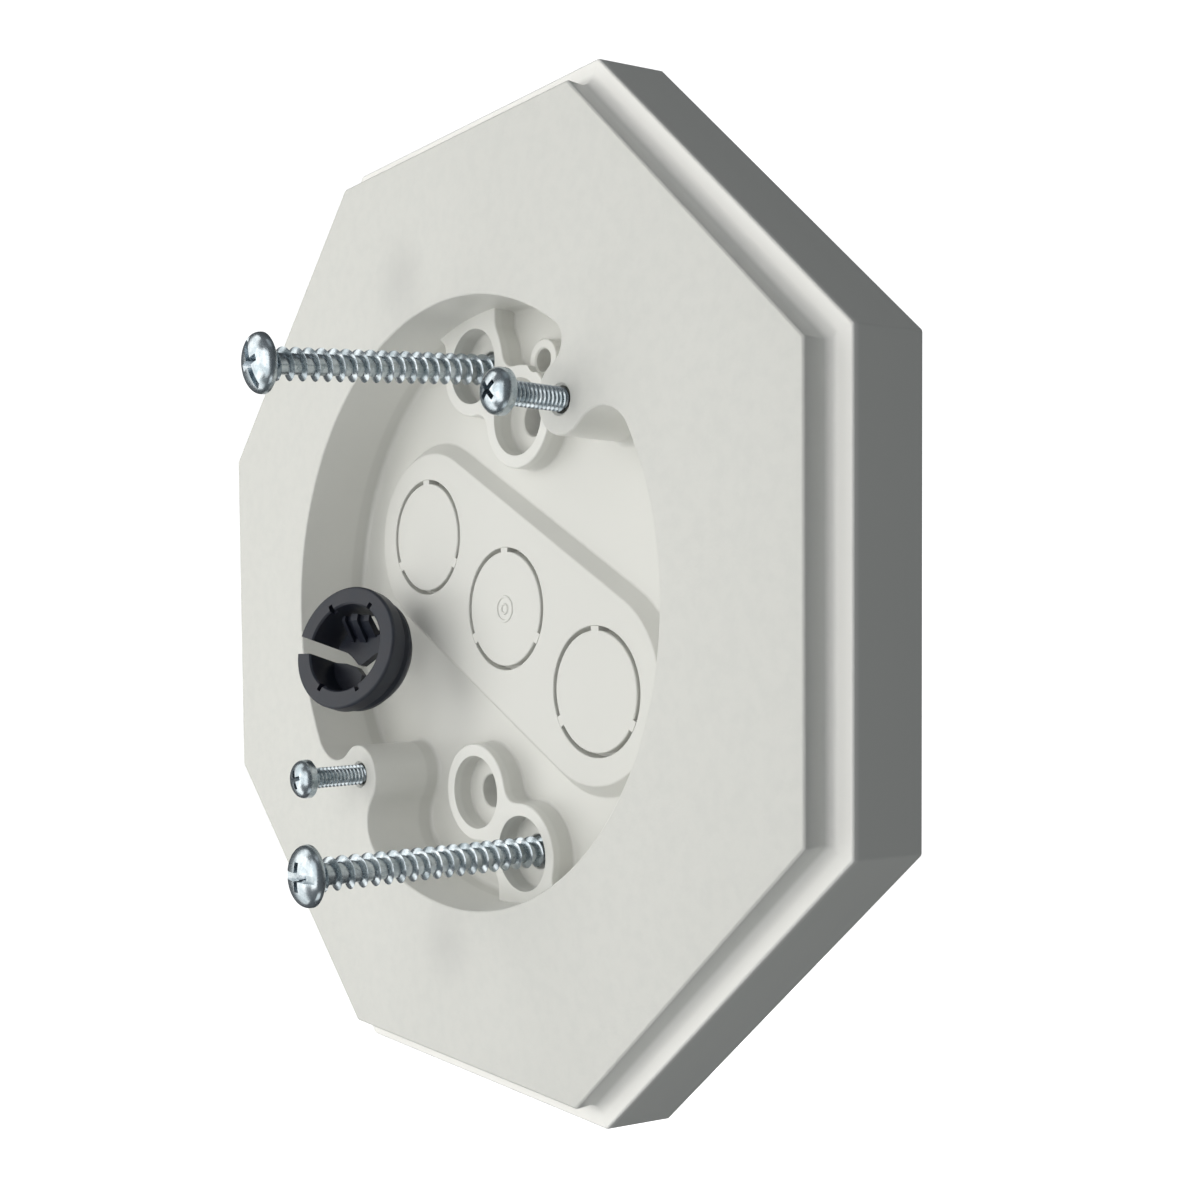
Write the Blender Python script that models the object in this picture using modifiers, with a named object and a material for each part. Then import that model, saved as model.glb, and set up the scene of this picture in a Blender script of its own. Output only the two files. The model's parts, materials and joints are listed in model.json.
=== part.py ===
"""Octagonal fixture mounting block with its three knockouts, four screws and a snap-in cable connector.

Units are metres and +Z is up. The block is drawn on its back in a plan frame, where x runs to the right,
y runs up the wall and z is the height above the wall. The empty "wall_plane" stands that frame upright,
so in the world the wall faces +Y, the front of the block faces -Y, and the origin is the centre of the
plane that lies on the wall.
"""

import math

import bmesh
import bpy
from mathutils import Matrix, Vector

MM = 0.001
ORIGIN = Vector((0.0, 0.0))

# Octagonal moulding: half widths across the flats, and heights above the wall.
BACK_HALF = 85.7 * MM
LEDGE_HALF = 84.5 * MM
FACE_HALF = 80.5 * MM
FACE_H = 18.5 * MM
LEDGE_H = 13.5 * MM
COVE_R = 2.0 * MM
EDGE_R = 0.6 * MM
SHELL_T = 2.8 * MM
RIB_T = 2.0 * MM
RIB_COUNT = 8

# Round recess with its raised levels.
RECESS_R = 53.2 * MM
CUP_WALL = 2.6 * MM
FLOOR_H = 3.5 * MM
PLATEAU_H = 6.2 * MM
PAD_H = 8.2 * MM
GROUND_BOSS_H = 6.5 * MM
BURIED = 1.0 * MM

# Trade spacings of the screw pairs, and where each pair lies round the recess.
WIDE_SPACING = 88.9 * MM
NARROW_SPACING = 69.85 * MM
FIXTURE_ANGLE = math.radians(45.8)
WIDE_HOLE_ANGLE = math.radians(-81.5)
NARROW_HOLE_ANGLE = math.radians(-102)
UPPER_NARROW_SHIFT = Vector((-0.7, -0.95)) * MM

FIXTURE_BOSS_R = 6.1 * MM
FIXTURE_BOSS_SHIFT = 0.6 * MM
FIXTURE_PILOT_R = 2.2 * MM
BOSS_AT = WIDE_SPACING / 2 + FIXTURE_BOSS_SHIFT
BOSS_FILLETS = ((7.0 * MM, 3.5 * MM), (7.0 * MM, 7.0 * MM))
WALL_FILLET_R = 5.0 * MM
PAD_RING_R = 9.0 * MM
PAD_WAIST_R = 4.0 * MM
COUNTERBORE_R = 6.7 * MM
COUNTERBORE_H = 4.2 * MM
CLEARANCE_R = 3.1 * MM

GROUND_BOSS_AT = Vector((11.9, 42.4)) * MM
GROUND_BOSS_R = 3.7 * MM
GROUND_HOLE_R = 2.0 * MM

# Knockout plateau: a stadium that slopes down to the right, with a pocket behind it.
PLATEAU_ANGLE = math.radians(-30)
PLATEAU_AT = Vector((-0.2, -0.35)) * MM
PLATEAU_TOP_R = 16.8 * MM
PLATEAU_FOOT_R = 18.7 * MM
PLATEAU_REACH = 27.3 * MM
POCKET_R = 14.6 * MM
POCKET_H = 3.4 * MM
KNOCKOUT_PITCH = 28.7 * MM
KNOCKOUT_HOLE_R = 11.1 * MM
KNOCKOUT_R = 10.3 * MM
BRIDGE_ANGLES = [math.radians(a) for a in (90, -30, -150)]
BRIDGE_W = 2.4 * MM
FIT_GAP = 0.3 * MM

# Screws, as lengths under the head.
MOUNTING_SCREW = {
    "length": 49.6 * MM,
    "thread_r": 2.7 * MM,
    "head_r": 5.0 * MM,
    "head_h": 2.8 * MM,
    "rim": 0.45 * MM,
}
FIXTURE_SCREW = {
    "length": 12.0 * MM,
    "thread_r": 1.95 * MM,
    "head_r": 3.65 * MM,
    "head_h": 3.3 * MM,
    "rim": 1.0 * MM,
}
MOUNTING_HEAD_H = 50.2 * MM
FIXTURE_HEAD_H = 29.4 * MM
UPPER_SCREW_LEAN = math.radians(5.2)
LOWER_SCREW_LEAN = math.radians(-1.4)

# Cable connector, in its own frame: z runs out of its mouth, and the mouth looks right and a little up.
CONNECTOR_AT = Vector((-31.2, -7.1, 21.4)) * MM
CONNECTOR_TURN = math.radians(17.5)
CONNECTOR_PITCH = math.radians(-15)
FLANGE_R = 12.1 * MM
FLANGE_T = 3.4 * MM
BARREL_R = 10.8 * MM
SNAP_R = 11.3 * MM
BARREL_L = 8.6 * MM
BORE_R = 8.6 * MM
SPLIT_W = 3.2 * MM
SPLIT_ANGLE = math.radians(178)
WEB_TOP = -6.9 * MM
TONGUE_R = 8.0 * MM
TONGUE_HINGE = Vector((0.0, 6.8, -3.6)) * MM
RAMP_X = (-4.6 * MM, 1.6 * MM)

COARSE_STEP = 2.2 * MM
ROUND_SEGMENTS = 40


# ---------------------------------------------------------------- scene and materials

def clear_scene():
    for obj in list(bpy.context.scene.objects):
        bpy.data.objects.remove(obj, do_unlink=True)


def new_collection(name):
    collection = bpy.data.collections.new(name)
    bpy.context.scene.collection.children.link(collection)
    return collection


def finish(name, colour, roughness, metallic=0.0):
    material = bpy.data.materials.new(name)
    material.use_nodes = True
    shader = material.node_tree.nodes["Principled BSDF"]
    shader.inputs["Base Color"].default_value = (*colour, 1.0)
    shader.inputs["Roughness"].default_value = roughness
    shader.inputs["Metallic"].default_value = metallic
    return material


def empty(name, parent=None, matrix=None):
    obj = bpy.data.objects.new(name, None)
    bpy.context.scene.collection.objects.link(obj)
    obj.parent = parent
    if matrix is not None:
        obj.matrix_basis = matrix
    return obj


def add(mesh, name, collection, parent, material=None, at=None):
    obj = bpy.data.objects.new(name, mesh)
    collection.objects.link(obj)
    obj.parent = parent
    if at is not None:
        obj.location = at
    if material is not None:
        mesh.materials.append(material)
    return obj


def as_guide(obj):
    """Marks a shape that is only joined to or cut from another one."""
    obj.hide_render = True
    obj.display_type = "WIRE"
    return obj


def combine(target, other, operation):
    modifier = target.modifiers.new(other.name, "BOOLEAN")
    modifier.operation = operation
    modifier.solver = "EXACT"
    modifier.object = other


# ---------------------------------------------------------------- plane outlines

def from_polar(radius, angle):
    return Vector((radius * math.cos(angle), radius * math.sin(angle)))


def round_union(a, b, radius):
    """Joins two signed distances, with a fillet of that radius in the corner between them."""
    corner = math.hypot(max(radius - a, 0.0), max(radius - b, 0.0))
    return max(radius, min(a, b)) - corner


def pad_field(wide_centre, narrow_centre):
    """Distance to the pad round two mounting holes and to the wall that it joins, negative inside them."""
    def field(point):
        wide = (point - wide_centre).length - PAD_RING_R
        narrow = (point - narrow_centre).length - PAD_RING_R
        pad = round_union(wide, narrow, PAD_WAIST_R)
        joined = round_union(pad, RECESS_R - point.length, WALL_FILLET_R)
        return max(joined, point.length - RECESS_R - CUP_WALL / 2)
    return field


def crossing(field, centre, angle):
    """First point on a ray from centre where field changes sign."""
    direction = from_polar(1.0, angle)
    start_sign = field(centre) > 0
    stride = 0.25 * MM
    reach = stride
    while (field(centre + direction * reach) > 0) == start_sign:
        reach += stride
    low = reach - stride
    for _ in range(24):
        middle = (low + reach) / 2
        if (field(centre + direction * middle) > 0) == start_sign:
            low = middle
        else:
            reach = middle
    return centre + direction * reach


def even(points, step):
    """The same closed line with points about a step apart."""
    closed = points + points[:1]
    lengths = [0.0]
    for a, b in zip(closed, closed[1:]):
        lengths.append(lengths[-1] + (b - a).length)
    count = max(12, round(lengths[-1] / step))
    result = []
    segment = 0
    for i in range(count):
        target = lengths[-1] * i / count
        while lengths[segment + 1] < target:
            segment += 1
        share = (target - lengths[segment]) / (lengths[segment + 1] - lengths[segment])
        result.append(closed[segment].lerp(closed[segment + 1], share))
    return result


def outline(field, centre, step=COARSE_STEP * 0.8, rays=540):
    return even([crossing(field, centre, math.tau * i / rays) for i in range(rays)], step)


def arc(centre, radius, start, end, count):
    return [
        centre + from_polar(radius, start + (end - start) * i / count) for i in range(count + 1)
    ]


def boss_fillet(radius):
    """Centre of a fillet beside a fixture boss, as radius and swing, and the angle where it meets it."""
    inside_r = RECESS_R - radius
    reach = FIXTURE_BOSS_R + radius
    swing = math.acos((inside_r ** 2 + BOSS_AT ** 2 - reach ** 2) / (2 * inside_r * BOSS_AT))
    lean = math.pi - math.acos((BOSS_AT ** 2 + reach ** 2 - inside_r ** 2) / (2 * BOSS_AT * reach))
    return inside_r, swing, lean


def recess_outline():
    """The recess wall, flowing round its two fixture bosses through a fillet on each side of them."""
    points = []
    wall_start = FIXTURE_ANGLE - math.pi + boss_fillet(BOSS_FILLETS[1][1])[1]
    for angle, (before_r, after_r) in zip((FIXTURE_ANGLE, FIXTURE_ANGLE + math.pi), BOSS_FILLETS):
        inside, swing, lean = boss_fillet(before_r)
        points += arc(ORIGIN, RECESS_R, wall_start, angle - swing, 60)
        centre = from_polar(inside, angle - swing)
        points += arc(centre, before_r, angle - swing, angle + math.pi - lean, 20)
        inside, swing, after_lean = boss_fillet(after_r)
        cap = from_polar(BOSS_AT, angle)
        points += arc(cap, FIXTURE_BOSS_R, angle - lean, angle + after_lean - math.tau, 24)
        centre = from_polar(inside, angle + swing)
        points += arc(centre, after_r, angle + after_lean - math.pi, angle + swing, 20)
        wall_start = angle + swing
    return even(points, COARSE_STEP)


def stadium(reach, radius, angle, count=14):
    axis = from_polar(1.0, angle)
    quarter = math.pi / 2
    right = arc(axis * reach, radius, angle - quarter, angle + quarter, count)
    left = arc(-axis * reach, radius, angle + quarter, angle + 3 * quarter, count)
    return right + left


def plateau_stadium(radius):
    return [PLATEAU_AT + point for point in stadium(PLATEAU_REACH, radius, PLATEAU_ANGLE)]


# ---------------------------------------------------------------- solids

def extruded(name, points, low, high):
    """A flat outline as a 2D curve, extruded from one height to another, as a mesh."""
    curve = bpy.data.curves.new(name, "CURVE")
    curve.dimensions = "2D"
    curve.fill_mode = "BOTH"
    curve.extrude = (high - low) / 2
    spline = curve.splines.new("POLY")
    spline.points.add(len(points) - 1)
    for target, point in zip(spline.points, points):
        target.co = (point.x, point.y, 0.0, 1.0)
    spline.use_cyclic_u = True
    holder = bpy.data.objects.new(name, curve)
    bpy.context.scene.collection.objects.link(holder)
    graph = bpy.context.evaluated_depsgraph_get()
    mesh = bpy.data.meshes.new_from_object(holder.evaluated_get(graph))
    bpy.data.objects.remove(holder, do_unlink=True)
    bpy.data.curves.remove(curve)
    work = bmesh.new()
    work.from_mesh(mesh)
    bmesh.ops.remove_doubles(work, verts=work.verts, dist=0.00001)
    bmesh.ops.translate(work, verts=work.verts, vec=(0.0, 0.0, (low + high) / 2))
    bmesh.ops.recalc_face_normals(work, faces=work.faces)
    work.to_mesh(mesh)
    work.free()
    mesh.name = name
    return mesh


def spread_foot(mesh, low, foot):
    """Moves the bottom edge of an extruded shape out to another outline with as many points."""
    for vertex in mesh.vertices:
        if vertex.co.z < low + 0.01 * MM:
            place = Vector((vertex.co.x, vertex.co.y))
            nearest = min(foot, key=lambda point: (point - place).length)
            vertex.co.x, vertex.co.y = nearest
    return mesh


def cylinder(name, centre, radius, low, high, segments=ROUND_SEGMENTS):
    work = bmesh.new()
    bmesh.ops.create_cone(
        work, cap_ends=True, segments=segments, radius1=radius, radius2=radius, depth=high - low
    )
    bmesh.ops.translate(work, verts=work.verts, vec=(centre.x, centre.y, (low + high) / 2))
    mesh = bpy.data.meshes.new(name)
    work.to_mesh(mesh)
    work.free()
    return mesh


def block(name, size, matrix):
    work = bmesh.new()
    bmesh.ops.create_cube(work, size=1.0, matrix=matrix @ Matrix.Diagonal((*size, 1.0)))
    mesh = bpy.data.meshes.new(name)
    work.to_mesh(mesh)
    work.free()
    return mesh


def profile_mesh(name, profile):
    """The edge line of a turned shape, in the XZ plane at +X."""
    mesh = bpy.data.meshes.new(name)
    verts = [(radius, 0.0, height) for radius, height in profile]
    mesh.from_pydata(verts, [(i, i + 1) for i in range(len(verts) - 1)], [])
    return mesh


def turn(obj, steps):
    modifier = obj.modifiers.new("turned", "SCREW")
    modifier.axis = "Z"
    modifier.angle = math.tau
    modifier.steps = steps
    modifier.render_steps = steps
    modifier.use_merge_vertices = True
    modifier.merge_threshold = 0.00001
    modifier.use_smooth_shade = False


def closed_profile(profile):
    return profile + profile[:1]


# ---------------------------------------------------------------- the mounting block

def octagon_profile():
    """Half section of the moulding at a corner of the octagon, from the middle of its face outwards."""
    corner = 1 / math.cos(math.pi / RIB_COUNT)
    face = [(0.0, FACE_H)]
    for i in range(3):
        turned = math.radians(45 * i)
        across = FACE_HALF - EDGE_R + EDGE_R * math.sin(turned)
        face.append((across, FACE_H - EDGE_R + EDGE_R * math.cos(turned)))
    cove = []
    for i in range(5):
        turned = math.radians(22.5 * i)
        across = FACE_HALF + COVE_R - COVE_R * math.cos(turned)
        cove.append((across, LEDGE_H + COVE_R - COVE_R * math.sin(turned)))
    rim = [
        (LEDGE_HALF - EDGE_R, LEDGE_H),
        (LEDGE_HALF, LEDGE_H - EDGE_R),
        (BACK_HALF, 0.0),
    ]
    inside = [
        (BACK_HALF - SHELL_T, 0.0),
        (LEDGE_HALF - SHELL_T, LEDGE_H - SHELL_T),
        (FACE_HALF - SHELL_T, FACE_H - SHELL_T),
        (0.0, FACE_H - SHELL_T),
    ]
    across_flats = face + cove + rim + inside
    return [(half * corner, height) for half, height in across_flats]


def rib_mesh(index):
    angle = math.tau * (index + 0.5) / RIB_COUNT
    corner = 1 / math.cos(math.pi / RIB_COUNT)
    inner = RECESS_R + CUP_WALL / 2
    outer = LEDGE_HALF * corner - SHELL_T / 2
    low = 1.0 * MM
    high = LEDGE_H - SHELL_T / 2
    turned = Matrix.Rotation(angle, 4, "Z")
    placed = turned @ Matrix.Translation(((inner + outer) / 2, 0.0, (low + high) / 2))
    return block(f"rib_{index}", (outer - inner, RIB_T, high - low), placed)


def hole_centres(spacing, angle):
    first = from_polar(spacing / 2, angle)
    return [first, -first]


def narrow_centres():
    lower, upper = hole_centres(NARROW_SPACING, NARROW_HOLE_ANGLE)
    return [lower, upper + UPPER_NARROW_SHIFT]


def knockout_centres():
    axis = from_polar(1.0, PLATEAU_ANGLE)
    return [PLATEAU_AT + axis * KNOCKOUT_PITCH * i for i in (-1, 0, 1)]


def make_block(parts, guides, plan, material):
    shell = add(profile_mesh("mounting_block", octagon_profile()), "mounting_block", parts, plan, material)
    shell.rotation_euler.z = math.pi / RIB_COUNT
    turn(shell, RIB_COUNT)
    through_low = -2 * MM
    above = FACE_H + 2 * MM

    def join(mesh):
        combine(shell, as_guide(add(mesh, mesh.name, guides, plan)), "UNION")

    def cut(mesh):
        combine(shell, as_guide(add(mesh, mesh.name, guides, plan)), "DIFFERENCE")

    cup_top = FACE_H - SHELL_T / 2
    join(cylinder("cup", ORIGIN, RECESS_R + CUP_WALL, 0.0, cup_top, 96))
    for index in range(RIB_COUNT):
        join(rib_mesh(index))
    cut(extruded("recess", recess_outline(), FLOOR_H, above))
    buried = FLOOR_H - BURIED
    spread = (PLATEAU_FOOT_R - PLATEAU_TOP_R) / (PLATEAU_H - FLOOR_H)
    foot = plateau_stadium(PLATEAU_FOOT_R + BURIED * spread)
    plateau = extruded("plateau", plateau_stadium(PLATEAU_TOP_R), buried, PLATEAU_H)
    join(spread_foot(plateau, buried, foot))
    cut(extruded("cable_pocket", plateau_stadium(POCKET_R), through_low, POCKET_H))
    wide = hole_centres(WIDE_SPACING, WIDE_HOLE_ANGLE)
    for name, wide_hole, narrow_hole in zip(("lower_pad", "upper_pad"), wide, narrow_centres()):
        field = pad_field(wide_hole, narrow_hole)
        join(extruded(name, outline(field, (wide_hole + narrow_hole) / 2), buried, PAD_H))
    join(cylinder("ground_boss", GROUND_BOSS_AT, GROUND_BOSS_R, FLOOR_H - BURIED, GROUND_BOSS_H, 24))
    cut(cylinder("ground_hole", GROUND_BOSS_AT, GROUND_HOLE_R, 1.5 * MM, above, 20))
    for index, centre in enumerate(wide + narrow_centres()):
        cut(cylinder(f"counterbore_{index}", centre, COUNTERBORE_R, COUNTERBORE_H, above, 36))
        cut(cylinder(f"clearance_hole_{index}", centre, CLEARANCE_R, through_low, above, 24))
    for index, centre in enumerate(hole_centres(WIDE_SPACING, FIXTURE_ANGLE)):
        cut(cylinder(f"fixture_pilot_{index}", centre, FIXTURE_PILOT_R, FLOOR_H, above, 24))
    for index, centre in enumerate(knockout_centres()):
        cut(cylinder(f"knockout_hole_{index}", centre, KNOCKOUT_HOLE_R, through_low, above, ROUND_SEGMENTS))
    return shell


def knockout_outline():
    """A disc with the three short bridges that would tie it to the plateau."""
    points = []
    reach = KNOCKOUT_HOLE_R - FIT_GAP
    half = math.asin(BRIDGE_W / 2 / reach)
    start = max(BRIDGE_ANGLES) + half
    for angle in sorted(BRIDGE_ANGLES):
        stop = angle - half
        span = (stop - start) % math.tau
        points += arc(ORIGIN, KNOCKOUT_R, start, start + span, 14)
        points += arc(ORIGIN, reach, stop, angle + half, 2)
        start = angle + half
    return points


def make_knockouts(parts, plan, material):
    names = ("knockout_upper_left", "knockout_middle", "knockout_lower_right")
    for name, centre in zip(names, knockout_centres()):
        mesh = extruded(name, knockout_outline(), 0.0, PLATEAU_H - POCKET_H)
        add(mesh, name, parts, plan, material, (centre.x, centre.y, POCKET_H))


# ---------------------------------------------------------------- screws

def screw_profile(screw):
    """Pan head above z = 0 and a plain shank of the thread's outer size below it."""
    head_r = screw["head_r"]
    head_h = screw["head_h"]
    rim = screw["rim"]
    dome = []
    for i in range(7):
        turned = math.radians(15 * i)
        dome.append((head_r * math.sin(turned), rim + (head_h - rim) * math.cos(turned)))
    shank = [
        (head_r, 0.0),
        (screw["thread_r"], 0.0),
        (screw["thread_r"], -screw["length"] + 0.8 * MM),
        (screw["thread_r"] * 0.7, -screw["length"]),
        (0.0, -screw["length"]),
    ]
    return dome + shank


def make_screw(name, screw, matrix, parts, plan, material):
    seat = empty(name + "_axis", plan, matrix)
    obj = add(profile_mesh(name, screw_profile(screw)), name, parts, seat, material)
    turn(obj, 28)


def make_screws(parts, plan, material):
    wide = hole_centres(WIDE_SPACING, WIDE_HOLE_ANGLE)
    fixture = hole_centres(WIDE_SPACING, FIXTURE_ANGLE)
    places = {
        "mounting_screw_lower": (MOUNTING_SCREW, wide[0], MOUNTING_HEAD_H, LOWER_SCREW_LEAN),
        "mounting_screw_upper": (MOUNTING_SCREW, wide[1], MOUNTING_HEAD_H, UPPER_SCREW_LEAN),
        "fixture_screw_upper": (FIXTURE_SCREW, fixture[0], FIXTURE_HEAD_H, 0.0),
        "fixture_screw_lower": (FIXTURE_SCREW, fixture[1], FIXTURE_HEAD_H, 0.0),
    }
    hole_middle = COUNTERBORE_H / 2
    for name, (screw, centre, head_height, lean) in places.items():
        pivot = Vector((centre.x, centre.y, hole_middle))
        leaning = Matrix.Rotation(lean, 4, "X")
        raised = Matrix.Translation((0.0, 0.0, head_height - hole_middle))
        make_screw(name, screw, Matrix.Translation(pivot) @ leaning @ raised, parts, plan, material)


# ---------------------------------------------------------------- cable connector

def connector_profile():
    return closed_profile([
        (BORE_R, 0.0),
        (FLANGE_R - 0.6 * MM, 0.0),
        (FLANGE_R, -0.6 * MM),
        (FLANGE_R, -FLANGE_T),
        (BARREL_R, -FLANGE_T),
        (BARREL_R, -5.2 * MM),
        (SNAP_R, -5.7 * MM),
        (SNAP_R, -6.4 * MM),
        (BARREL_R - 1.0 * MM, -BARREL_L),
        (BORE_R, -BARREL_L),
    ])


def polar_angle(point):
    return math.atan2(point.y, point.x)


def web_outline():
    """The fixed web that closes the lower left of the bore at its rear end."""
    free_edge = [(-1.7, -8.4), (-0.7, -5.8), (-0.6, -3.9), (-2.4, -2.3), (-4.9, -1.7), (-8.6, -1.5)]
    points = [Vector(point) * MM for point in free_edge]
    start = polar_angle(points[-1]) % math.tau
    end = polar_angle(points[0]) % math.tau
    buried = arc(ORIGIN, BORE_R + BURIED, start + 0.03, end - 0.03, 12)
    return points + buried


def tongue_outline():
    """The tongue's flat end, which closes the middle of the bore down to the slit."""
    edge = [(-7.9, 1.2), (-5.1, 0.4), (-3.9, -0.3), (-1.9, -1.9), (-1.1, -1.9), (2.0, 0.3), (6.9, 2.6)]
    top = [(6.4, 4.2), (-6.4, 4.2), (-7.2, 2.8)]
    return [Vector(point) * MM for point in edge + top]


def tongue_ramp():
    """Side view of the sloping root of the tongue: distance up the bore, and height along it."""
    side = [(3.0, -8.2), (3.0, -7.3), (6.2, -2.9), (7.4, -2.9), (7.4, -4.3), (5.2, -7.2), (5.2, -8.2)]
    return [Vector(point) * MM for point in side]


def make_tongue(parts, guides, axis, material):
    name = "cable_connector_tongue"
    hinge = empty("tongue_hinge", axis, Matrix.Translation(TONGUE_HINGE))
    back = Matrix.Translation(-TONGUE_HINGE)
    flap = extruded(name, tongue_outline(), -BARREL_L + 0.1 * MM, WEB_TOP)
    flap.transform(back)
    tongue = add(flap, name, parts, hinge, material)
    ramp = extruded("tongue_ramp", tongue_ramp(), RAMP_X[0], RAMP_X[1])
    ramp.transform(back @ Matrix(((0, 0, 1, 0), (1, 0, 0, 0), (0, 1, 0, 0), (0, 0, 0, 1))))
    combine(tongue, as_guide(add(ramp, ramp.name, guides, hinge)), "UNION")
    limit = cylinder("tongue_limit", ORIGIN, TONGUE_R, -BARREL_L - MM, MM, 48)
    limit.transform(back)
    combine(tongue, as_guide(add(limit, limit.name, guides, hinge)), "INTERSECT")


def make_connector(parts, guides, plan, material):
    turned = Matrix.Rotation(CONNECTOR_TURN, 4, "Y") @ Matrix.Rotation(CONNECTOR_PITCH, 4, "X")
    axis = empty("cable_connector_axis", plan, Matrix.Translation(CONNECTOR_AT) @ turned)
    name = "cable_connector_body"
    body = add(profile_mesh(name, connector_profile()), name, parts, axis, material)
    turn(body, 48)
    web = extruded("connector_web", web_outline(), -BARREL_L, WEB_TOP)
    combine(body, as_guide(add(web, web.name, guides, axis)), "UNION")
    split_size = (FLANGE_R - BORE_R + 4 * MM, SPLIT_W, BARREL_L + 4 * MM)
    middle = Matrix.Translation(((BORE_R + FLANGE_R) / 2, 0.0, -BARREL_L / 2))
    split = block("connector_split", split_size, Matrix.Rotation(SPLIT_ANGLE, 4, "Z") @ middle)
    combine(body, as_guide(add(split, split.name, guides, axis)), "DIFFERENCE")
    make_tongue(parts, guides, axis, material)


def main():
    clear_scene()
    parts = new_collection("fixture_mounting_block")
    guides = new_collection("cutters")
    white_plastic = finish("moulded_plastic", (0.80, 0.80, 0.77), 0.55)
    zinc = finish("zinc_steel", (0.62, 0.66, 0.70), 0.25, 1.0)
    black_plastic = finish("black_plastic", (0.02, 0.022, 0.03), 0.5)
    plan = empty("wall_plane", matrix=Matrix.Rotation(math.pi / 2, 4, "X"))
    make_block(parts, guides, plan, white_plastic)
    make_knockouts(parts, plan, white_plastic)
    make_screws(parts, plan, zinc)
    make_connector(parts, guides, plan, black_plastic)
    bpy.context.view_layer.update()


main()
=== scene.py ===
"""Octagonal fixture mounting block with its loose screws and cable connector: the finished look.

Shapes are drawn in millimetres in a plan frame that lies on the wall: x to the right, y up the wall and z
out of it. PLAN stands that frame upright in the row frame, where the wall faces +Y.
"""

import json
import math

import bmesh
import bpy
from mathutils import Matrix, Vector

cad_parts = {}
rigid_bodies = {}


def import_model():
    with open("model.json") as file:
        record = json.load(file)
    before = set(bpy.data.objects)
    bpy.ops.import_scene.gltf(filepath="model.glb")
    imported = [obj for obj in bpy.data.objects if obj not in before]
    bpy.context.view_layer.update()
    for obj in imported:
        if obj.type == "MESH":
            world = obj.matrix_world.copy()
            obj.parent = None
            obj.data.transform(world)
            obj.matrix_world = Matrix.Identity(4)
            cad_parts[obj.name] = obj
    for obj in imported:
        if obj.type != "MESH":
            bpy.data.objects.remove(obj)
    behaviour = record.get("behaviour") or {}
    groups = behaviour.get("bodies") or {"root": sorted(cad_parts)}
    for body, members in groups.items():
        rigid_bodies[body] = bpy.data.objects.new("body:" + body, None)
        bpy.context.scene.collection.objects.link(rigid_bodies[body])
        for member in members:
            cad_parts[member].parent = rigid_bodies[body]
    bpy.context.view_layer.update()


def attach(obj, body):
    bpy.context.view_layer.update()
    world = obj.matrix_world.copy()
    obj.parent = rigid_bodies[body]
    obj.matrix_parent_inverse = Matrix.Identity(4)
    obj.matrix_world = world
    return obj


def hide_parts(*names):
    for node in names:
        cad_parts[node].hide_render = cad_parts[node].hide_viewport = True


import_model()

MM = 0.001
PLAN = Matrix.Rotation(math.pi / 2, 4, "X") @ Matrix.Scale(MM, 4)
ORIGIN = Vector((0.0, 0.0))

# Octagon: half widths across the flats, and heights above the wall.
BACK_HALF = 85.7
LEDGE_HALF = 84.5
FACE_HALF = 80.5
FACE_H = 18.5
LEDGE_H = 13.5
COVE_R = 2.0
FACE_EDGE_R = 0.5
LEDGE_EDGE_R = 0.45
BACK_EDGE = 0.3
SHELL_T = 2.8
RIB_T = 2.0
RIB_COUNT = 8
CORNER_R = 0.7

# Recess and its raised levels.
RECESS_R = 53.2
CUP_WALL = 2.6
FLOOR_H = 3.5
PLATEAU_H = 6.2
PAD_H = 8.2
GROUND_BOSS_H = 6.5
WIDE_SPACING = 88.9
NARROW_SPACING = 69.85
FIXTURE_ANGLE = math.radians(45.8)
WIDE_HOLE_ANGLE = math.radians(-81.5)
NARROW_HOLE_ANGLE = math.radians(-102)
UPPER_NARROW_SHIFT = Vector((-0.7, -0.95))
FIXTURE_BOSS_R = 6.1
FIXTURE_BOSS_SHIFT = 0.6
BOSS_AT = WIDE_SPACING / 2 + FIXTURE_BOSS_SHIFT
BOSS_FILLETS = ((7.0, 3.5), (7.0, 7.0))
WALL_FILLET_R = 5.0
PAD_RING_R = 9.0
PAD_WAIST_R = 4.0
COUNTERBORE_R = 6.7
COUNTERBORE_H = 4.2
CLEARANCE_R = 3.1
FIXTURE_PILOT_R = 2.2
GROUND_BOSS_AT = Vector((11.9, 42.4))
GROUND_BOSS_R = 3.7
GROUND_HOLE_R = 2.0
MOUTH_R = 0.35
FLOOR_FILLET_R = 1.0
WALL_STEP = 0.7
PAD_STEP = 0.5

# How far joined solids run into each other, and how far cutters reach past a surface.
BURIED = 1.0
PAST = 2.0

# Plateau, the pocket behind it, and the knockouts in it.
PLATEAU_ANGLE = math.radians(-30)
PLATEAU_AT = Vector((-0.2, -0.35))
PLATEAU_TOP_R = 16.8
PLATEAU_FOOT_R = 18.7
PLATEAU_REACH = 27.3
POCKET_R = 14.6
POCKET_H = 3.4
KNOCKOUT_PITCH = 28.7
KNOCKOUT_HOLE_R = 11.1
KNOCKOUT_R = 10.35
SKIN_R = 11.04
SKIN_T = 0.45
BRIDGE_ANGLES = [math.radians(a) for a in (-150, -30, 90)]
BRIDGE_W = 2.0
GATE_RINGS = ((0.6, 1.1), (1.9, 2.5))
GATE_RING_H = 0.2

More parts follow.
